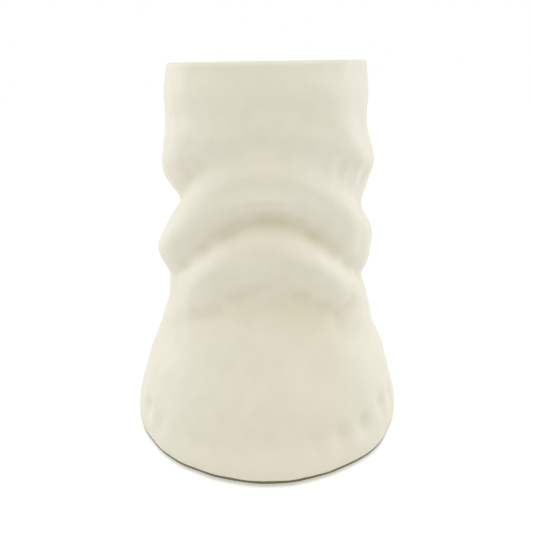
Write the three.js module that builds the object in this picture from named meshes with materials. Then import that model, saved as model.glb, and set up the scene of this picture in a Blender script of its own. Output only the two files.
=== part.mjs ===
// Hand-built stoneware flower vase, in millimetres. +Z is up, the front is towards -Y, and the origin is under
// the middle of the foot. The wall is four clay courses: a flared skirt, a lower fold, a middle roll and a neck.
// Each stands on the one below in a bevelled joint that follows a crease, and the skirt is wrapped round the edge
// of a flat base slab. A coil is pressed into the corner between the slab and the skirt, so that it holds water.
import * as THREE from "three";

// Courses, as heights measured up the vase's sides, where the creases lie lowest.
const skirtHeight = 60;
const foldHeight = 30;
const middleHeight = 48;
const neckHeight = 72;
const foldJoint = skirtHeight;
const middleJoint = foldJoint + foldHeight;
const neckJoint = middleJoint + middleHeight;
const vaseHeight = neckJoint + neckHeight;

// Heights up the clay that lie between the joints: the shin is up the skirt, and the throat and the collar are
// above the neck's joint.
const shinHeight = 38;
const throatHeight = neckJoint + 42;
const collarHeight = neckJoint + 54;

// Outer radii of the plain trunk, before the folds are pressed into it.
const footRadius = 83.4;
const shinRadius = 75;
const skirtTopRadius = 66.2;
const waistRadius = 59.2;
const neckRadius = 56;
const collarRadius = 56;
const rimRadius = 53.9;

// How far the courses arch up at the middle of the front, and the share of it at the back.
const foldJointRise = 43;
const middleJointRise = 46;
const neckJointRise = 32;
const throatRise = 8;
const backRise = 0.6;

// Clay thicknesses, and the room between touching pieces. The joints between courses slope, so their faces are
// nearer to each other than the upright room between them.
const wall = 5.6;
const rimThickness = 4.2;
const rimTaper = 25;
const slabThickness = 7;
const jointGap = 0.35;
const courseGap = 0.6;
const jointBevel = 3;
const innerShare = 0.7; // how much of a fold shows on the inside of the wall

// The foot's rounded edge stays just off the surface that the slab rests on.
const footLift = 1.2;
const footRound = 2.6;
const slabChamfer = 1;
const rimRound = 1.5;

// The coil that seals the inside corner: its size, its blunt top edge and how low its hollow face dips. It sits
// in a margin that is scored into the slab.
const coilWidth = 8;
const coilHeight = 9;
const coilEdge = 1;
const coilHollow = 0.3;
const scoreDepth = 0.5;
const coilFloor = slabThickness - scoreDepth + jointGap;
const coilTop = coilFloor + coilHeight;

// Slices round the vase, and the height of one facet on the outside and the inside of a course.
const slices = 60;
const facetHeight = { outside: 5.5, inside: 8.5 };

const trunk = [
  [0, footRadius],
  [shinHeight, shinRadius],
  [foldJoint, skirtTopRadius],
  [middleJoint, waistRadius],
  [neckJoint, neckRadius],
  [collarHeight, collarRadius],
  [vaseHeight, rimRadius],
];

const lifts = [
  [coilTop, 0],
  [foldJoint, foldJointRise],
  [middleJoint, middleJointRise],
  [neckJoint, neckJointRise],
  [throatHeight, throatRise],
  [vaseHeight, 0],
];

// Rolls stand proud and creases are pressed in: how high up, how tall, and how deep on each side.
const folds = [
  { at: shinHeight, tall: 20, left: 0, right: 0.3, front: 1, back: 1 },
  { at: foldJoint, tall: 6, left: -0.4, right: 0.4, front: -2.4, back: -1.2 },
  { at: middleJoint - 9, tall: 7, left: -0.6, right: 0, front: 2.6, back: 1.6 },
  { at: middleJoint, tall: 7, left: -2.2, right: -2, front: -5, back: -3.4 },
  { at: middleJoint + 17, tall: 12.5, left: 7, right: 3.4, front: 2.4, back: 3.2 },
  { at: middleJoint + 29, tall: 9, left: 0, right: 2.2, front: 0, back: 0 },
  { at: neckJoint - 3, tall: 9, left: -6, right: -2.4, front: -1.4, back: -2.6 },
  { at: neckJoint + 19, tall: 14, left: 3.2, right: 4.4, front: 0.8, back: 2 },
  { at: throatHeight + 2, tall: 8, left: -0.9, right: -1.4, front: -0.2, back: -0.4 },
];

// A smooth curve through [x, y] points that never swings past them, and is level past both ends.
function smoothThrough(points, x) {
  const last = points.length - 1;
  if (x <= points[0][0]) return points[0][1];
  if (x >= points[last][0]) return points[last][1];
  const chord = (i) => (points[i + 1][1] - points[i][1]) / (points[i + 1][0] - points[i][0]);
  const slope = (i) => {
    if (i === 0 || i === last) return 0;
    const [below, above] = [chord(i - 1), chord(i)];
    return below * above > 0 ? (2 * below * above) / (below + above) : 0;
  };
  const i = points.findIndex(([px]) => px > x) - 1;
  const [xa, ya] = points[i];
  const [xb, yb] = points[i + 1];
  const step = xb - xa;
  const t = (x - xa) / step;
  const rest = 1 - t;
  const ends = ya * rest * rest * (1 + 2 * t) + yb * t * t * (3 - 2 * t);
  return ends + step * t * rest * (slope(i) * rest - slope(i + 1) * t);
}

// How far each side has its say at an angle, which is 0 at the front and grows towards the right.
function sideShares(angle) {
  const front = Math.cos(angle);
  const right = Math.sin(angle);
  return {
    front: Math.max(0, front) ** 2,
    back: Math.max(0, -front) ** 2,
    right: Math.max(0, right) ** 2,
    left: Math.max(0, -right) ** 2,
  };
}

// A height up the clay is a height up the vase's sides. The arch of the courses lifts it at the front and back.
function liftedTo(angle, height) {
  const { front, back } = sideShares(angle);
  return height + smoothThrough(lifts, height) * (front + backRise * back);
}

function foldAt(angle, height) {
  const shares = sideShares(angle);
  let push = 0;
  for (const fold of folds) {
    let depth = 0;
    for (const side of Object.keys(shares)) depth += fold[side] * shares[side];
    push += depth * Math.exp(-(((height - fold.at) / fold.tall) ** 2));
  }
  return push;
}

function wallAt(z) {
  const thinning = THREE.MathUtils.smoothstep(z, vaseHeight - rimTaper, vaseHeight);
  return wall + (rimThickness - wall) * thinning;
}

// A place in the wall is a height up the clay and a share of the way in from the outside, 0, to the inside, 1.
function radiusAt(angle, height, inward) {
  const z = liftedTo(angle, height);
  const push = foldAt(angle, height) * (1 - (1 - innerShare) * inward);
  return smoothThrough(trunk, z) + push - wallAt(z) * inward;
}

// A ring whose section is a closed list of stations. Each has the height of a point and a function of the angle
// for its radius. The lathe gives the faces, and each of its points is then moved to its own place.
function ringOf(stations) {
  const section = stations.map(({ height, radius }) => new THREE.Vector2(radius(0), height));
  const ring = new THREE.LatheGeometry(section, slices);
  const points = ring.getAttribute("position");
  for (let i = 0; i < points.count; i++) {
    const slice = Math.floor(i / stations.length) % slices;
    const angle = (slice / slices) * 2 * Math.PI;
    const { height, radius } = stations[i % stations.length];
    const r = radius(angle);
    points.setXYZ(i, r * Math.sin(angle), -r * Math.cos(angle), liftedTo(angle, height));
  }
  return ring;
}

function wallStation(height, inward) {
  return { height, radius: (angle) => radiusAt(angle, height, inward) };
}

// Even steps up one face of a course, both ends included.
function faceOf(low, high, side) {
  const steps = Math.ceil((high - low) / facetHeight[side]);
  const heights = Array.from({ length: steps + 1 }, (_, i) => low + ((high - low) * i) / steps);
  return heights.map((height) => wallStation(height, side === "inside" ? 1 : 0));
}

function closed(stations) {
  return [...stations, stations[0]];
}

// A course between two joints. Its lower edge is bevelled down over the course below.
function courseBetween(low, high) {
  const bottom = low + courseGap / 2;
  const top = high - courseGap / 2;
  const outside = faceOf(bottom, top, "outside");
  const inside = faceOf(bottom + jointBevel, top + jointBevel, "inside").reverse();
  return ringOf(closed([...outside, ...inside]));
}

// The inside keeps a station at each height where the slab and the coil meet it, so that they follow one line.
function skirt() {
  const top = foldJoint - courseGap / 2;
  const outside = faceOf(footLift + footRound, top, "outside");
  const seats = [footLift, slabThickness, coilTop].map((height) => wallStation(height, 1));
  const above = faceOf(coilTop, top + jointBevel, "inside").slice(1);
  const inside = [...seats, ...above].reverse();
  const rounding = wallStation(footLift, footRound / wall);
  return ringOf(closed([...outside, ...inside, rounding]));
}

function neck() {
  const bottom = neckJoint + courseGap / 2;
  const shoulder = vaseHeight - rimRound;
  const outside = faceOf(bottom, shoulder, "outside");
  const rounding = rimRound / rimThickness;
  const edge = [wallStation(vaseHeight, rounding), wallStation(vaseHeight, 1 - rounding)];
  const inside = faceOf(bottom + jointBevel, shoulder, "inside").reverse();
  return ringOf(closed([...outside, ...edge, ...inside]));
}

function insideLess(height, room) {
  return (angle) => radiusAt(angle, height, 1) - room;
}

// The floor of the vase: flat underneath, with an edge that follows the skirt wrapped round it. Its top is flat
// up to the scored margin that holds the coil.
function baseSlab() {
  const centre = () => 0;
  const margin = insideLess(coilFloor, coilWidth + jointGap);
  const scored = slabThickness - scoreDepth;
  return ringOf([
    { height: 0, radius: centre },
    { height: 0, radius: insideLess(footLift, jointGap + slabChamfer) },
    { height: footLift, radius: insideLess(footLift, jointGap) },
    { height: scored, radius: insideLess(scored, jointGap) },
    { height: scored, radius: margin },
    { height: slabThickness, radius: margin },
    { height: slabThickness, radius: centre },
  ]);
}

// A soft coil of clay smeared into the corner: flat against the slab and the skirt, hollow towards the water.
function jointCoil() {
  const dip = coilFloor + coilHeight * coilHollow;
  return ringOf(
    closed([
      { height: coilFloor, radius: insideLess(coilFloor, jointGap) },
      { height: coilTop, radius: insideLess(coilTop, jointGap) },
      { height: coilTop, radius: insideLess(coilTop, jointGap + coilEdge) },
      { height: dip, radius: insideLess(coilFloor, coilWidth * (1 - coilHollow)) },
      { height: coilFloor, radius: insideLess(coilFloor, coilWidth) },
    ]),
  );
}

const glaze = new THREE.MeshStandardMaterial({ color: 0xece9df, roughness: 0.55, metalness: 0 });
const bareClay = new THREE.MeshStandardMaterial({ color: 0xcfc4ac, roughness: 0.9, metalness: 0 });

const vase = new THREE.Group();
const pieces = [
  ["base_slab", baseSlab(), bareClay],
  ["base_joint_coil", jointCoil(), glaze],
  ["skirt", skirt(), glaze],
  ["lower_fold", courseBetween(foldJoint, middleJoint), glaze],
  ["middle_roll", courseBetween(middleJoint, neckJoint), glaze],
  ["neck", neck(), glaze],
];
for (const [name, geometry, material] of pieces) {
  const mesh = new THREE.Mesh(geometry, material);
  mesh.name = name;
  vase.add(mesh);
}

export default vase;
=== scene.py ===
# Looks of a hand-built stoneware vase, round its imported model. Blender works in metres, and the clay is
# shaped in millimetres. +Z is up, the front is -Y, and an angle is 0 there and grows towards the right.
import math
import random
import bmesh
import bpy
import numpy as np
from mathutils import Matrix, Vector


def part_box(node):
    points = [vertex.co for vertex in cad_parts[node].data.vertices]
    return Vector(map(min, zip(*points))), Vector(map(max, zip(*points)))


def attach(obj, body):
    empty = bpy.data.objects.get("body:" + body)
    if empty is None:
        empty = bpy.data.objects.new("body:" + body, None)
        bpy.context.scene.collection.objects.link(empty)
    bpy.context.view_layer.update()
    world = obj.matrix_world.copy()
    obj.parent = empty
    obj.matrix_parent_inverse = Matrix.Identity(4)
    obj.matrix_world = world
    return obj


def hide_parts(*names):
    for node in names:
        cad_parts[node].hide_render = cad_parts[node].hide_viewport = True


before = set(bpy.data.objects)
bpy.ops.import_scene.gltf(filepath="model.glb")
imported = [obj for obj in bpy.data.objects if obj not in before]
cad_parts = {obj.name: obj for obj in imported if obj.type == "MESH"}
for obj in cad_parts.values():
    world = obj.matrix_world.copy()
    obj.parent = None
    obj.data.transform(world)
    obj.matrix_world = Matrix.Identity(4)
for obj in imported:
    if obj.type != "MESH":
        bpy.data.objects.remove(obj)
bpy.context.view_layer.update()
mm = 0.001
fullTurn = 2 * math.pi

jointRoom = 0.3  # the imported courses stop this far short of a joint
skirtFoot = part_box("skirt")[0].z / mm
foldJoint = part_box("lower_fold")[0].z / mm - jointRoom
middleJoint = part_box("middle_roll")[0].z / mm - jointRoom
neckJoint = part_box("neck")[0].z / mm - jointRoom
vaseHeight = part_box("neck")[1].z / mm
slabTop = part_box("base_slab")[1].z / mm
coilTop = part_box("base_joint_coil")[1].z / mm
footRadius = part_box("skirt")[1].x / mm

form = {
    "slices": 420,
    "wall": 5.6,
    "rimWall": 4.2,
    "rimTaper": 25,  # the wall thins over this much below the rim
    "innerShare": 0.7,  # how much of a fold shows on the inside
    "backRise": 0.6,  # the arches at the back, as a share of the front's
    "rimTilt": 0.8,  # the rim is this much higher on the right
    "trunk": [  # height and outer radius, before the folds
        [0, footRadius],
        [38, 75],
        [foldJoint, 66.2],
        [middleJoint, 59.2],
        [neckJoint, 56],
        [neckJoint + 54, 56],
        [vaseHeight, 53.9],
    ],
    "rises": [  # height up the clay, and how far the clay arches up there at the front
        [coilTop, 0],
        [foldJoint, 43],
        [middleJoint, 46],
        [neckJoint, 32],
        [neckJoint + 42, 8],
        [vaseHeight, 0],
    ],
}

# Rolls stand proud and creases are pressed in. up is a height up the clay, and tall is the reach above and
# below it. The four sides give how far the clay goes out there, in millimetres.
folds = [
    {"up": 5, "tall": 8.5, "left": -0.8, "right": 0, "front": 3.9, "back": 1},
    {"up": 40, "tall": 18, "left": -1.5, "right": 0.2, "front": 1, "back": 1},
    {"up": foldJoint - 8, "tall": 7.5, "left": -0.4, "right": 0.2, "front": -3.0, "back": -1.2},
    {"up": foldJoint + 7, "tall": 8, "left": -0.8, "right": 0, "front": 1.4, "back": 0.6},
    {"up": middleJoint - 13.5, "tall": 8.5, "left": -1.6, "right": 0.2, "front": 3.1, "back": 1.6},
    {"up": middleJoint - 1.2, "tall": 6, "left": -0.7, "right": -1.8, "front": -5.2, "back": -3.4},
    {"up": middleJoint + 17, "tall": 12.5, "left": 7, "right": 3.6, "front": 2.4, "back": 3.2},
    {"up": middleJoint + 29, "tall": 9, "left": 0, "right": 3.5, "front": 1.2, "back": 0},
    {"up": neckJoint - 3, "tall": 8, "left": -6, "right": -1.8, "front": 0.2, "back": -2.6},
    {"up": neckJoint + 2, "tall": 7, "left": 0, "right": 0.8, "front": -0.6, "back": 0},
    {"up": neckJoint + 19, "tall": 14, "left": 3.2, "right": 4.4, "front": 0.3, "back": 2},
    {"up": neckJoint + 42, "tall": 9, "left": -0.4, "right": -1.0, "front": 0, "back": -0.4},
]

# Soft marks, mostly on the front. spread is how many degrees they reach to either side of their angle.
marks = [
    {"up": middleJoint + 21, "tall": 6, "angle": -2, "spread": 30, "depth": -0.9},
    {"up": middleJoint + 11, "tall": 3.5, "angle": 0, "spread": 13, "depth": 1.5},
    {"up": middleJoint + 20, "tall": 12, "angle": 44, "spread": 13, "depth": 1.0},
    {"up": middleJoint - 17, "tall": 6, "angle": 27, "spread": 16, "depth": 2.0},
    {"up": middleJoint - 18, "tall": 6, "angle": -30, "spread": 15, "depth": 1.5},
    {"up": foldJoint + 6, "tall": 4, "angle": -6, "spread": 14, "depth": 0.9},
    {"up": 34, "tall": 18, "angle": 44, "spread": 13, "depth": 1.0},
    {"up": 3, "tall": 8, "angle": -32, "spread": 12, "depth": 0.6},
    {"up": 3, "tall": 8, "angle": 62, "spread": 10, "depth": -1.2},
    {"up": foldJoint - 9, "tall": 9, "angle": 24, "spread": 24, "depth": -2.8},
    {"up": 44, "tall": 8, "angle": 6, "spread": 13, "depth": -0.9},
    {"up": 37, "tall": 7, "angle": 26, "spread": 11, "depth": -2.2},
    {"up": neckJoint + 17, "tall": 9, "angle": 66, "spread": 15, "depth": 1.0},
    {"up": neckJoint + 17, "tall": 9, "angle": -68, "spread": 15, "depth": 0.9},
    {"up": neckJoint + 56, "tall": 17, "angle": 36, "spread": 13, "depth": 1.9},
    {"up": neckJoint + 56, "tall": 17, "angle": -41, "spread": 12, "depth": 1.0},
    {"up": neckJoint + 33, "tall": 11, "angle": 44, "spread": 12, "depth": 1.8},
    {"up": neckJoint + 30, "tall": 8, "angle": -50, "spread": 13, "depth": 1.2},
]

wobble = {  # the slow unevenness of clay that was shaped by hand
    "waves": 44,
    "longest": 70,
    "shortest": 13,
    "size": 0.0016,  # as a share of a wave's length
    "inside": 1.4,  # the inside's, as a share of the outside's
    "seed": 11,
}


def smoothThrough(points, x):  # a smooth curve that never swings past its points
    across = np.array([point[0] for point in points], float)
    up = np.array([point[1] for point in points], float)
    step = np.diff(across)
    chord = np.diff(up) / step
    slope = np.zeros(len(points))
    for i in range(1, len(points) - 1):
        before, after = chord[i - 1], chord[i]
        slope[i] = 2 * before * after / (before + after) if before * after > 0 else 0
    x = np.clip(x, across[0], across[-1])
    i = np.clip(np.searchsorted(across, x, side="right") - 1, 0, len(step) - 1)
    t = (x - across[i]) / step[i]
    rest = 1 - t
    ends = up[i] * rest * rest * (1 + 2 * t) + up[i + 1] * t * t * (3 - 2 * t)
    return ends + step[i] * t * rest * (slope[i] * rest - slope[i + 1] * t)


def sideShares(angle):
    front, right = np.cos(angle), np.sin(angle)
    return {
        "front": np.maximum(0, front) ** 2,
        "back": np.maximum(0, -front) ** 2,
        "right": np.maximum(0, right) ** 2,
        "left": np.maximum(0, -right) ** 2,
    }


def turnBetween(angle, degrees):  # the short way round, in radians
    return (angle - math.radians(degrees) + math.pi) % fullTurn - math.pi


def liftedTo(angle, up):
    shares = sideShares(angle)
    rise = smoothThrough(form["rises"], up)
    return up + rise * (shares["front"] + form["backRise"] * shares["back"])


def foldedBy(angle, up):
    shares = sideShares(angle)
    push = np.zeros_like(up)
    for fold in folds:
        depth = sum(fold[side] * shares[side] for side in shares)
        push += depth * np.exp(-(((up - fold["up"]) / fold["tall"]) ** 2))
    for mark in marks:
        away = turnBetween(angle, mark["angle"]) / math.radians(mark["spread"])
        push += mark["depth"] * np.exp(-(((up - mark["up"]) / mark["tall"]) ** 2) - away**2)
    return push


def wobbledBy(angle, z):
    dice = random.Random(wobble["seed"])
    push = np.zeros_like(z)
    for _ in range(wobble["waves"]):
        length = wobble["longest"] * (wobble["shortest"] / wobble["longest"]) ** dice.random()
        heading = dice.uniform(0, math.pi)
        turns = round(fullTurn / length * math.cos(heading) * footRadius)
        climb = fullTurn / length * math.sin(heading)
        push += wobble["size"] * length * np.cos(turns * angle + climb * z + dice.uniform(0, fullTurn))
    return push


# Rows of presses that the maker's fingers left.
footPresses = {  # round the foot: angle, height and depth
    "wide": 5.5,
    "tall": 6,
    "front": [
        (-60, 18, 1.9), (-48, 16.5, 1.7), (-36, 17, 0.8), (-26, 18, 1.0), (-16, 21, 0.8), (-8, 20, 0.4),
        (0, 21, 1.6), (10, 17, 0.7), (18, 20, 1.4), (30, 19, 2.5), (42.5, 19.5, 3.3), (56, 22.5, 2.6),
    ],
    "step": 11.5,  # degrees between the ones that go on round the back
    "height": 20,
    "depth": 1.4,
    "seed": 5,
}
neckPresses = {  # along the neck's lower edge: angle, height and depth
    "wide": 5,
    "tall": 5,
    "front": [
        (-74, 150, 0.8), (-63, 152, 1.1), (-54, 151, 0.8), (-46, 157, 1.2), (-37, 164, 0.9), (-26, 169, 0.6),
        (-4, 174, 0.8), (18, 172, 0.4), (31, 168, 0.9), (42, 161, 1.7), (51, 157, 1.0), (62, 153, 1.6),
        (74, 150, 0.9),
    ],
    "step": 13,
    "depth": 0.8,
    "seed": 8,
}
creasePresses = {  # along the crease below the middle roll
    "wide": 5.5,
    "tall": 4,
    "front": [
        (-62, 97, 1.0), (-54, 105, 1.2), (-36, 116, 1.2), (-20, 127, 1.2), (-12, 136, 1.3), (-2, 137.5, 1.4),
        (7, 137.5, 1.4), (17, 135, 1.4), (26, 125, 1.2), (37, 114, 1.2), (53, 105, 1.4),
    ],
    "step": 14,
    "depth": 0.8,
    "seed": 3,
}
shelfPresses = {  # under the lower fold
    "wide": 7,
    "tall": 5,
    "front": [
        (-37, 79.5, 2.3), (-27, 84, 1.9), (-18, 94.5, 2.3), (-9, 99.5, 2.5), (1, 102.5, 2.1),
        (10, 106.5, 2.5), (18, 95, 2.4), (31, 87, 2.2), (41, 80, 2.4), (49, 83, 2.3),
    ],
    "step": 16,
    "depth": 0.7,
    "seed": 21,
}


scatter = {"turn": 2.5, "height": 2, "depth": (0.5, 1.2)}  # of the presses round the back


def roundTheBack(row, heightAt):
    dice = random.Random(row["seed"])
    first, last = row["front"][0][0], row["front"][-1][0]
    count = int((360 + first - last) / row["step"])
    gap = (360 + first - last) / count
    presses = []
    for i in range(1, count):
        angle = last + gap * i + dice.uniform(-scatter["turn"], scatter["turn"])
        height = heightAt(angle) + dice.uniform(-scatter["height"], scatter["height"])
        presses.append((angle, height, row["depth"] * dice.uniform(*scatter["depth"])))
    return presses


def archHeight(up):
    return lambda degrees: float(liftedTo(np.array([math.radians(degrees)]), np.array([float(up)]))[0])


pressRows = [  # a row of presses, and its height at an angle round the back
    (footPresses, lambda degrees: footPresses["height"]),
    (neckPresses, archHeight(neckJoint + 9)),
    (creasePresses, archHeight(middleJoint)),
    (shelfPresses, archHeight(foldJoint - 3)),
]


pushedUp = {"share": 0.12, "reach": 2}  # the slight ring of clay that is pushed up round a press


def pressedBy(angle, z, radius):
    push = np.zeros_like(z)
    for row, heightAt in pressRows:
        for degrees, height, depth in row["front"] + roundTheBack(row, heightAt):
            along = turnBetween(angle, degrees) * radius / row["wide"]
            away = along**2 + ((z - height) / row["tall"]) ** 2
            ring = pushedUp["share"] * np.exp(-away / pushedUp["reach"] ** 2)
            push -= depth * ((1 + pushedUp["share"]) * np.exp(-away) - ring)
    return push


# A ring is spun from a plain section, and each of its points is then moved to its own place.
plainRadius = 100.0  # the outside of a ring before it is sculpted


def thicknessAt(z):
    t = np.clip((z - (vaseHeight - form["rimTaper"])) / form["rimTaper"], 0, 1)
    return form["wall"] + (form["rimWall"] - form["wall"]) * t * t * (3 - 2 * t)


def wallPlace(angle, up, inward):  # inward is the share of the way from the outside to the inside
    z = liftedTo(angle, up)
    trunk = smoothThrough(form["trunk"], z)
    outer = foldedBy(angle, up) * (1 - (1 - form["innerShare"]) * inward)
    fine = (pressedBy(angle, z, trunk) + wobbledBy(angle, z)) * (1 - inward)
    soft = wobbledBy(angle + 1, z * 1.3) * wobble["inside"] * inward  # other waves than the outside's
    radius = trunk + outer + fine + soft - thicknessAt(z) * inward
    nearRim = np.clip((up - neckJoint) / (vaseHeight - neckJoint), 0, 1) ** 2
    return radius, z + form["rimTilt"] * np.sin(angle) * nearRim


def ringFrom(corners):
    # corners go round the section as (inward, up, rows): rows to the next corner, or 0 across an open end
    bm = bmesh.new()
    points = []
    for corner, following in zip(corners, corners[1:] + corners[:1]):
        for row in range(max(1, corner[2])):
            t = row / max(1, corner[2])
            inward, up = (corner[i] + (following[i] - corner[i]) * t for i in (0, 1))
            points.append(bm.verts.new((plainRadius - inward * form["wall"], 0, up)))
    closed = corners[-1][2] > 0
    for start, end in zip(points, points[1:] + points[:1] if closed else points[1:]):
        bm.edges.new((start, end))
    bmesh.ops.spin(
        bm, geom=bm.verts[:] + bm.edges[:], cent=(0, 0, 0), axis=(0, 0, 1), dvec=(0, 0, 0),
        angle=fullTurn, steps=form["slices"], use_merge=True, use_duplicate=False,
    )
    bmesh.ops.remove_doubles(bm, verts=bm.verts[:], dist=1e-4)
    bmesh.ops.recalc_face_normals(bm, faces=bm.faces[:])
    return bm


def roundRing(bm, inward, up, offset, segments):
    radius = plainRadius - inward * form["wall"]

    def onRing(vert):
        return abs(vert.co.z - up) < 1e-3 and abs(math.hypot(vert.co.x, vert.co.y) - radius) < 1e-2

    ring = [edge for edge in bm.edges if onRing(edge.verts[0]) and onRing(edge.verts[1])]
    bmesh.ops.bevel(bm, geom=ring, offset=offset, segments=segments, profile=0.5, affect="EDGES", material=-1)


hollowShading = {"from": 0.3, "over": 4}  # painted shade in the hollows: how deep a dip is where it starts, and where it is at its darkest
sharpFold = 48  # edges that turn by more degrees than this stay sharp


def makePiece(name, bm, place):
    mesh = bpy.data.meshes.new(name)
    bm.to_mesh(mesh)
    bm.free()
    flat = np.empty(len(mesh.vertices) * 3, np.float32)
    mesh.vertices.foreach_get("co", flat)
    x, y, up = flat.reshape(-1, 3).astype(float).T
    angle = np.arctan2(x, -y)
    inward = (plainRadius - np.hypot(x, y)) / form["wall"]
    radius, z = place(angle, up, inward)
    spots = np.stack([radius * np.sin(angle), -radius * np.cos(angle), z], axis=1) * mm
    mesh.vertices.foreach_set("co", spots.astype(np.float32).ravel())
    # Painted shade: the depth of each dip is stored as the hollow attribute, which darkens the glaze in
    # creases and presses.
    dip = foldedBy(angle, up) + pressedBy(angle, z, radius)
    hollowShade = np.clip(-(dip + hollowShading["from"]) / hollowShading["over"], 0, 1)
    hollow = mesh.attributes.new("hollow", "FLOAT", "POINT")
    hollow.data.foreach_set("value", hollowShade.astype(np.float32))
    mesh.shade_smooth()
    mesh.set_sharp_from_angle(angle=math.radians(sharpFold))
    mesh.update()
    piece = bpy.data.objects.new(name, mesh)
    bpy.context.scene.collection.objects.link(piece)
    return piece


def rowsIn(length, step):
    return max(1, round(length / step))


def addNode(tree, kind, **inputs):
    node = tree.nodes.new(kind)
    for name, value in inputs.items():
        node.inputs[name].default_value = value
    return node


def worked(tree, operation, *values):  # a sum done on sockets and plain numbers
    node = tree.nodes.new("ShaderNodeMath")
    node.operation = operation
    for value, socket in zip(values, node.inputs):
        if isinstance(value, (int, float)):
            socket.default_value = value
        else:
            tree.links.new(value, socket)
    return node.outputs[0]


def newGroup(name, takes, gives):
    group = bpy.data.node_groups.new(name, "ShaderNodeTree")
    for socket, value in takes.items():
        made = group.interface.new_socket(name=socket, in_out="INPUT", socket_type="NodeSocketFloat")
        made.default_value = value
    group.interface.new_socket(name="Place", in_out="INPUT", socket_type="NodeSocketVector")
    for socket in gives:
        group.interface.new_socket(name=socket, in_out="OUTPUT", socket_type="NodeSocketFloat")
    return group, group.nodes.new("NodeGroupInput"), group.nodes.new("NodeGroupOutput")


def cloudGroup():  # soft, uneven patches, as in a dipped glaze
    group, given, out = newGroup("softClouds", {"Scale": 30, "Edge": 0.15}, ["Mask"])
    noise = addNode(group, "ShaderNodeTexNoise", Detail=3, Roughness=0.55)
    spread = group.nodes.new("ShaderNodeMapRange")
    link = group.links.new
    link(given.outputs["Place"], noise.inputs["Vector"])
    link(given.outputs["Scale"], noise.inputs["Scale"])
    link(noise.outputs["Fac"], spread.inputs["Value"])
    link(worked(group, "SUBTRACT", 0.5, given.outputs["Edge"]), spread.inputs["From Min"])
    link(worked(group, "ADD", 0.5, given.outputs["Edge"]), spread.inputs["From Max"])
    link(spread.outputs["Result"], out.inputs["Mask"])
    return group


def pinholeGroup():  # a few pinholes and dark specks, each in its own cell
    group, given, out = newGroup("pinholes", {"Scale": 120, "Share": 0.03, "Size": 0.1}, ["Mask"])
    cells = addNode(group, "ShaderNodeTexVoronoi", Randomness=1)
    split = group.nodes.new("ShaderNodeSeparateColor")
    link = group.links.new
    link(given.outputs["Place"], cells.inputs["Vector"])
    link(given.outputs["Scale"], cells.inputs["Scale"])
    link(cells.outputs["Color"], split.inputs["Color"])
    near = worked(group, "LESS_THAN", cells.outputs["Distance"], given.outputs["Size"])
    chosen = worked(group, "LESS_THAN", split.outputs["Red"], given.outputs["Share"])
    link(worked(group, "MULTIPLY", near, chosen), out.inputs["Mask"])
    return group


def grainGroup():  # fine grain under the glaze or on bare clay
    group, given, out = newGroup("clayGrain", {"Fine": 1800, "Coarse": 350, "Balance": 0.5}, ["Height"])
    fine = addNode(group, "ShaderNodeTexNoise", Detail=2, Roughness=0.6)
    coarse = addNode(group, "ShaderNodeTexNoise", Detail=3, Roughness=0.5)
    blend = group.nodes.new("ShaderNodeMix")
    link = group.links.new
    for noise, size in ((fine, "Fine"), (coarse, "Coarse")):
        link(given.outputs["Place"], noise.inputs["Vector"])
        link(given.outputs[size], noise.inputs["Scale"])
    link(given.outputs["Balance"], blend.inputs["Factor"])
    link(fine.outputs["Fac"], blend.inputs["A"])
    link(coarse.outputs["Fac"], blend.inputs["B"])
    link(blend.outputs["Result"], out.inputs["Height"])
    return group


clouds, pinholes, grain = cloudGroup(), pinholeGroup(), grainGroup()


def newMaterial(name):
    material = bpy.data.materials.new(name)
    material.use_nodes = True
    shader = material.node_tree.nodes["Principled BSDF"]
    place = material.node_tree.nodes.new("ShaderNodeTexCoord")
    return material, material.node_tree, shader, place.outputs["Object"]


def useGroup(tree, group, place, **inputs):
    node = tree.nodes.new("ShaderNodeGroup")
    node.node_tree = group
    for name, value in inputs.items():
        node.inputs[name].default_value = value
    tree.links.new(place, node.inputs["Place"])
    return node.outputs[0]


def mixColour(tree, mask, under, over):
    mix = tree.nodes.new("ShaderNodeMix")
    mix.data_type = "RGBA"
    tree.links.new(mask, mix.inputs["Factor"])
    for value, socket in ((under, mix.inputs["A"]), (over, mix.inputs["B"])):
        if isinstance(value, tuple):
            socket.default_value = value
        else:
            tree.links.new(value, socket)
    return mix.outputs["Result"]


def mapped(tree, value, fromLow, fromHigh, toLow, toHigh):
    node = tree.nodes.new("ShaderNodeMapRange")
    limits = {"From Min": fromLow, "From Max": fromHigh, "To Min": toLow, "To Max": toHigh}
    for name, limit in limits.items():
        node.inputs[name].default_value = limit
    tree.links.new(value, node.inputs["Value"])
    return node.outputs["Result"]


def bumpFrom(tree, height, strength, distance, below=None):
    bump = addNode(tree, "ShaderNodeBump", Strength=strength, Distance=distance)
    tree.links.new(height, bump.inputs["Height"])
    if below is not None:
        tree.links.new(below, bump.inputs["Normal"])
    return bump.outputs["Normal"]


glaze = {
    "cream": (0.815, 0.79, 0.705, 1),
    "milky": (0.84, 0.815, 0.745, 1),  # where it lies thicker
    "warm": (0.785, 0.755, 0.655, 1),  # where it lies thin
    "mottle": (0.77, 0.75, 0.665, 1),
    "hollowShade": (0.765, 0.733, 0.60, 1),  # painted shade in the hollows of the folds and presses
    "speck": (0.42, 0.33, 0.23, 1),
    "bare": (0.14, 0.12, 0.045, 1),  # the wiped line at the foot, far darker than the bare clay as painted contact shadow
    "roughness": (0.5, 0.62),
}
bareFootAndShadow = {  # the line above the foot where the glaze is wiped off and painted contact shadow darkens it, in millimetres
    "height": 4.25,
    "front": 0.7,  # it is this much higher at the front, where the painted shadow shows taller
    "sides": -0.5,  # and this much at the sides and the back
    "waver": 0.8,
    "edge": 0.4,
}


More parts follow.
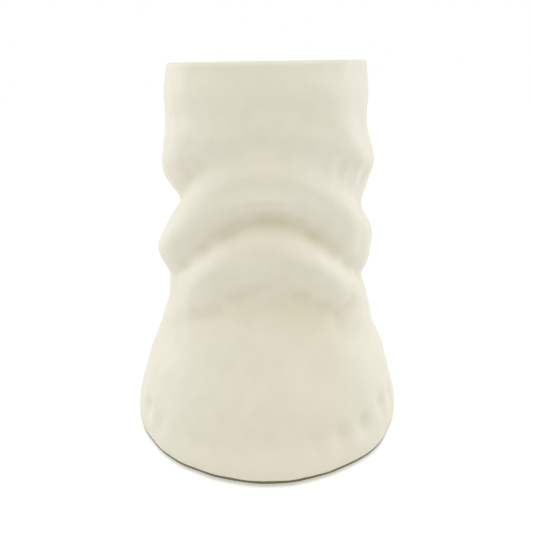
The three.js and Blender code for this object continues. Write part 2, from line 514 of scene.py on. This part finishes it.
def glazeColour(tree, place, milk):
    thin = useGroup(tree, clouds, place, Scale=9, Edge=0.16)
    colour = mixColour(tree, milk, glaze["cream"], glaze["milky"])
    colour = mixColour(tree, mapped(tree, thin, 0.5, 1, 0, 0.35), colour, glaze["warm"])
    mottle = useGroup(tree, clouds, place, Scale=130, Edge=0.28)
    colour = mixColour(tree, mapped(tree, mottle, 0, 1, 0, 0.7), colour, glaze["mottle"])
    # Painted shade in the creases and presses, read from the hollow attribute.
    hollow = tree.nodes.new("ShaderNodeAttribute")
    hollow.attribute_name = "hollow"
    patches = mapped(tree, useGroup(tree, clouds, place, Scale=75, Edge=0.15), 0, 1, 0.35, 1)
    return mixColour(tree, worked(tree, "MULTIPLY", hollow.outputs["Fac"], patches), colour, glaze["hollowShade"])


# The line above the foot: bare clay with painted contact shadow, darker and taller at the front.
def bareFootAndShadowMask(tree, place):
    split = tree.nodes.new("ShaderNodeSeparateXYZ")
    tree.links.new(place, split.inputs["Vector"])
    uneven = useGroup(tree, clouds, place, Scale=70, Edge=0.3)
    lower = mapped(tree, split.outputs["Y"], 0, -footRadius * mm, -bareFootAndShadow["sides"], -bareFootAndShadow["front"])
    shift = worked(tree, "MULTIPLY_ADD", uneven, bareFootAndShadow["waver"], lower)
    height = worked(tree, "MULTIPLY_ADD", shift, mm, split.outputs["Z"])
    line = bareFootAndShadow["height"] * mm
    return mapped(tree, height, line, line - bareFootAndShadow["edge"] * mm, 0, 1)


def matteGlaze():
    material, tree, shader, place = newMaterial("matteGlaze")
    milk = useGroup(tree, clouds, place, Scale=22, Edge=0.2)
    specks = useGroup(tree, pinholes, place, Scale=140, Share=0.03, Size=0.05)
    colour = mixColour(tree, specks, glazeColour(tree, place, milk), glaze["speck"])
    # Painted contact shadow: the bare line at the foot gets a near-black colour for the shade under the
    # foot's edge.
    colour = mixColour(tree, bareFootAndShadowMask(tree, place), colour, glaze["bare"])
    tree.links.new(colour, shader.inputs["Base Color"])
    tree.links.new(mapped(tree, milk, 0, 1, *glaze["roughness"]), shader.inputs["Roughness"])
    fine = useGroup(tree, grain, place, Fine=1500, Coarse=300, Balance=0.6)
    normal = bumpFrom(tree, fine, 0.35, 0.15 * mm)
    holes = mapped(tree, specks, 0, 1, 1, 0)
    tree.links.new(bumpFrom(tree, holes, 0.5, 0.2 * mm, normal), shader.inputs["Normal"])
    return material


bareClay = {
    "sand": (0.56, 0.49, 0.36, 1),
    "dark": (0.42, 0.35, 0.24, 1),
    "grit": (0.20, 0.15, 0.10, 1),
}


def bareClayMaterial():
    material, tree, shader, place = newMaterial("bareClay")
    patches = useGroup(tree, clouds, place, Scale=18, Edge=0.22)
    colour = mixColour(tree, patches, bareClay["sand"], bareClay["dark"])
    grit = useGroup(tree, pinholes, place, Scale=500, Share=0.12, Size=0.2)
    colour = mixColour(tree, grit, colour, bareClay["grit"])
    tree.links.new(colour, shader.inputs["Base Color"])
    shader.inputs["Roughness"].default_value = 0.9
    rough = useGroup(tree, grain, place, Fine=1400, Coarse=260, Balance=0.35)
    tree.links.new(bumpFrom(tree, rough, 0.6, 0.3 * mm), shader.inputs["Normal"])
    return material


glazeMaterial = matteGlaze()
clayMaterial = bareClayMaterial()
print("materials made")

# The four courses of the wall.
course = {"row": 0.9, "innerRow": 2.2, "seam": 0.15, "bevel": 3, "bedRows": 4}


def faceRows(low, high, inward, step):
    # one face of a course, from one joint to the next, with a narrow row along each joint
    seam = course["seam"]
    direction = 1 if high > low else -1
    inner = abs(high - low) - 2 * seam
    return [
        (inward, low, 1),
        (inward, low + direction * seam, rowsIn(inner, step)),
        (inward, high - direction * seam, 1),
    ]


def courseBetween(name, low, high):
    bevel = course["bevel"]
    corners = faceRows(low, high, 0, course["row"])
    corners.append((0, high, course["bedRows"]))
    corners += faceRows(high + bevel, low + bevel, 1, course["innerRow"])
    corners.append((1, low + bevel, course["bedRows"]))
    return makePiece(name, ringFrom(corners), wallPlace)


skirtShape = {"round": 2.2, "roundRows": 6, "row": 0.8, "clear": 2.4}  # clear is kept free for a rounding


def skirtPiece():
    seam, bevel = course["seam"], course["bevel"]
    plainFrom = skirtFoot + skirtShape["clear"]
    corners = [
        (0, skirtFoot, 1),
        (0, plainFrom, rowsIn(foldJoint - plainFrom - seam, skirtShape["row"])),
        (0, foldJoint - seam, 1),
        (0, foldJoint, course["bedRows"]),
        (1, foldJoint + bevel, 1),
        (1, foldJoint + bevel - seam, rowsIn(foldJoint - skirtFoot, course["innerRow"])),
        (1, skirtFoot, 1),
    ]
    bm = ringFrom(corners)
    roundRing(bm, 0, skirtFoot, skirtShape["round"], skirtShape["roundRows"])
    return makePiece("glazedSkirt", bm, wallPlace)


neckShape = {"rimRound": 2.6, "roundRows": 7, "row": 1.0, "clear": 2.9}


def neckPiece():
    seam, bevel = course["seam"], course["bevel"]
    plainTo = vaseHeight - neckShape["clear"]
    corners = [
        (0, neckJoint, 1),
        (0, neckJoint + seam, rowsIn(plainTo - neckJoint, neckShape["row"])),
        (0, plainTo, 1),
        (0, vaseHeight, 1),
        (1, vaseHeight, 1),
        (1, plainTo, rowsIn(plainTo - neckJoint - bevel, course["innerRow"])),
        (1, neckJoint + bevel + seam, 1),
        (1, neckJoint + bevel, course["bedRows"]),
    ]
    bm = ringFrom(corners)
    for inward in (0, 1):
        roundRing(bm, inward, vaseHeight, neckShape["rimRound"], neckShape["roundRows"])
    return makePiece("glazedNeck", bm, wallPlace)


wallPieces = {
    "skirt": skirtPiece(),
    "lower_fold": courseBetween("glazedLowerFold", foldJoint, middleJoint),
    "middle_roll": courseBetween("glazedMiddleRoll", middleJoint, neckJoint),
    "neck": neckPiece(),
}
for node, piece in wallPieces.items():
    piece.data.materials.append(glazeMaterial)
    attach(piece, "root")
    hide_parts(node)
print("wall made:", sum(len(piece.data.polygons) for piece in wallPieces.values()), "faces")

# The floor slab, and the coil in its corner.
slab = {"chamfer": 1, "room": 0.35, "edgeRows": 6, "rows": 30, "unevenness": 0.9}


def innerRadius(angle, up):
    return wallPlace(angle, up, np.ones_like(up))[0]


def slabPlace(angle, up, inward):
    share = 1 - inward * form["wall"] / plainRadius
    edge = innerRadius(angle, np.maximum(up, skirtFoot)) - slab["room"]
    radius = edge * np.maximum(share, 0)
    dips = wobbledBy(angle, radius) * slab["unevenness"] * share * (1 - share)
    return radius, up + np.where(up > slabTop - 0.01, dips, 0)


def slabPiece():
    middle = plainRadius / form["wall"]
    chamfer = slab["chamfer"] / form["wall"]
    corners = [
        (middle, 0, slab["rows"]),
        (chamfer, 0, 1),
        (0, slab["chamfer"], slab["edgeRows"]),
        (0, slabTop, slab["rows"]),
        (middle, slabTop, 0),
    ]
    piece = makePiece("claySlab", ringFrom(corners), slabPlace)
    piece.data.materials.append(clayMaterial)
    piece.data.materials.append(glazeMaterial)
    for face in piece.data.polygons:
        if face.normal.z > 0.5:
            face.material_index = 1
    return piece


coil = {"width": 8, "edge": 0.8, "hollow": 1.6, "rows": 10, "smears": 31, "smearDepth": 0.5, "sink": 0.1}


def coilPlace(angle, up, inward):
    away = inward * form["wall"] - coil["sink"]
    height = coilTop - slabTop
    share = np.clip((up - slabTop) / height, 0, 1)
    wet = np.clip(away / coil["edge"], 0, 1)
    hollow = coil["hollow"] * 4 * share * (1 - share) * wet
    smear = coil["smearDepth"] * np.cos(coil["smears"] * angle + 3 * share) * (1 - share) * wet
    return innerRadius(angle, up) - away + hollow + smear, up


def coilPiece():
    floor = slabTop - coil["sink"]
    across = [part / form["wall"] for part in (0, coil["edge"], coil["width"])]
    corners = [
        (across[0], floor, coil["rows"]),
        (across[0], coilTop, 1),
        (across[1], coilTop, coil["rows"]),
        (across[2], floor, 3),
    ]
    piece = makePiece("cornerCoil", ringFrom(corners), coilPlace)
    piece.data.materials.append(glazeMaterial)
    return piece


floorPieces = {
    "base_slab": (slabPiece(), "bare_clay"),
    "base_joint_coil": (coilPiece(), "matte_glaze"),
}
for node, (piece, slot) in floorPieces.items():
    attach(piece, "root")
    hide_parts(node)
print("slab and coil made")

studio = {
    "floorSize": 6.0,
    "floorColour": (0.95, 0.95, 0.94, 1),
    "floorGlow": 0.4,  # what the camera sees on top of the light that falls there
    "frontColour": (0.95, 0.925, 0.77, 1),
    "backColour": (1.0, 1.01, 1.06, 1),
    "worldLevel": 0.69,
}


def cameraOnly(tree):  # 1 for what the camera sees, straight or through gloss or glass
    path = tree.nodes.new("ShaderNodeLightPath")
    total = path.outputs["Is Camera Ray"]
    for name in ("Is Glossy Ray", "Is Transmission Ray"):
        total = worked(tree, "MAXIMUM", total, path.outputs[name])
    return total


def makeFloor():
    bm = bmesh.new()
    bmesh.ops.create_grid(bm, x_segments=1, y_segments=1, size=studio["floorSize"] / 2)
    mesh = bpy.data.meshes.new("paleFloor")
    bm.to_mesh(mesh)
    bm.free()
    floor = bpy.data.objects.new("paleFloor", mesh)
    bpy.context.scene.collection.objects.link(floor)
    material = bpy.data.materials.new("paleFloor")
    material.use_nodes = True
    tree = material.node_tree
    tree.nodes.clear()
    out = tree.nodes.new("ShaderNodeOutputMaterial")
    matte = addNode(tree, "ShaderNodeBsdfDiffuse", Color=studio["floorColour"])
    glow = addNode(tree, "ShaderNodeEmission", Color=(1, 1, 1, 1))
    both = tree.nodes.new("ShaderNodeAddShader")
    tree.links.new(mapped(tree, cameraOnly(tree), 0, 1, 0, studio["floorGlow"]), glow.inputs["Strength"])
    tree.links.new(matte.outputs[0], both.inputs[0])
    tree.links.new(glow.outputs[0], both.inputs[1])
    tree.links.new(both.outputs[0], out.inputs["Surface"])
    mesh.materials.append(material)


def lightWorld():
    world = bpy.data.worlds.new("studio")
    bpy.context.scene.world = world
    world.use_nodes = True
    tree = world.node_tree
    tree.nodes.clear()
    out = tree.nodes.new("ShaderNodeOutputWorld")
    seen = addNode(tree, "ShaderNodeBackground", Color=(1, 1, 1, 1), Strength=1)
    lit = addNode(tree, "ShaderNodeBackground", Strength=studio["worldLevel"])
    direction = tree.nodes.new("ShaderNodeTexCoord")
    split = tree.nodes.new("ShaderNodeSeparateXYZ")
    tree.links.new(direction.outputs["Generated"], split.inputs["Vector"])
    towardsBack = mapped(tree, split.outputs["Y"], -0.7, 0.7, 0, 1)
    colour = mixColour(tree, towardsBack, studio["frontColour"], studio["backColour"])
    tree.links.new(colour, lit.inputs["Color"])
    either = tree.nodes.new("ShaderNodeMixShader")
    tree.links.new(cameraOnly(tree), either.inputs["Fac"])
    tree.links.new(lit.outputs[0], either.inputs[1])
    tree.links.new(seen.outputs[0], either.inputs[2])
    tree.links.new(either.outputs[0], out.inputs["Surface"])


coolWhite, plainWhite = (0.94, 0.97, 1.0), (1.0, 0.985, 0.93)
softboxes = [  # place and target in metres, size in metres, power in watts
    {"name": "leftBox", "at": (-0.7, 0.25, 0.28), "size": 0.6, "power": 1.5, "colour": coolWhite},
    {"name": "rightBox", "at": (0.7, 0.2, 0.26), "size": 0.6, "power": 1.38, "colour": coolWhite},
    {"name": "topBox", "at": (0, -0.3, 0.95), "size": 0.6, "power": 2.3, "colour": plainWhite},
]


def pointAt(holder, at, to):
    holder.location = at
    holder.rotation_euler = (Vector(to) - Vector(at)).to_track_quat("-Z", "Y").to_euler()


def hangLights():
    for box in softboxes:
        light = bpy.data.lights.new(box["name"], "AREA")
        light.size, light.energy, light.color = box["size"], box["power"], box["colour"]
        holder = bpy.data.objects.new(box["name"], light)
        bpy.context.scene.collection.objects.link(holder)
        pointAt(holder, box["at"], (0, 0, vaseHeight * mm / 2))


view = {
    "distance": 0.326,  # in front of the vase's axis
    "belowRim": 0.0009,
    "tilt": 19.82,  # degrees down
    "lens": 38.16,
}


def placeCamera():
    camera = bpy.data.cameras.new("camera")
    camera.lens, camera.sensor_width, camera.sensor_fit = view["lens"], 36, "HORIZONTAL"
    holder = bpy.data.objects.new("camera", camera)
    bpy.context.scene.collection.objects.link(holder)
    holder.location = (0, -view["distance"], vaseHeight * mm - view["belowRim"])
    holder.rotation_euler = (math.radians(90 - view["tilt"]), 0, 0)
    bpy.context.scene.camera = holder


makeFloor()
lightWorld()
hangLights()
placeCamera()
bpy.context.scene.view_settings.view_transform = "Standard"
print("stage set")
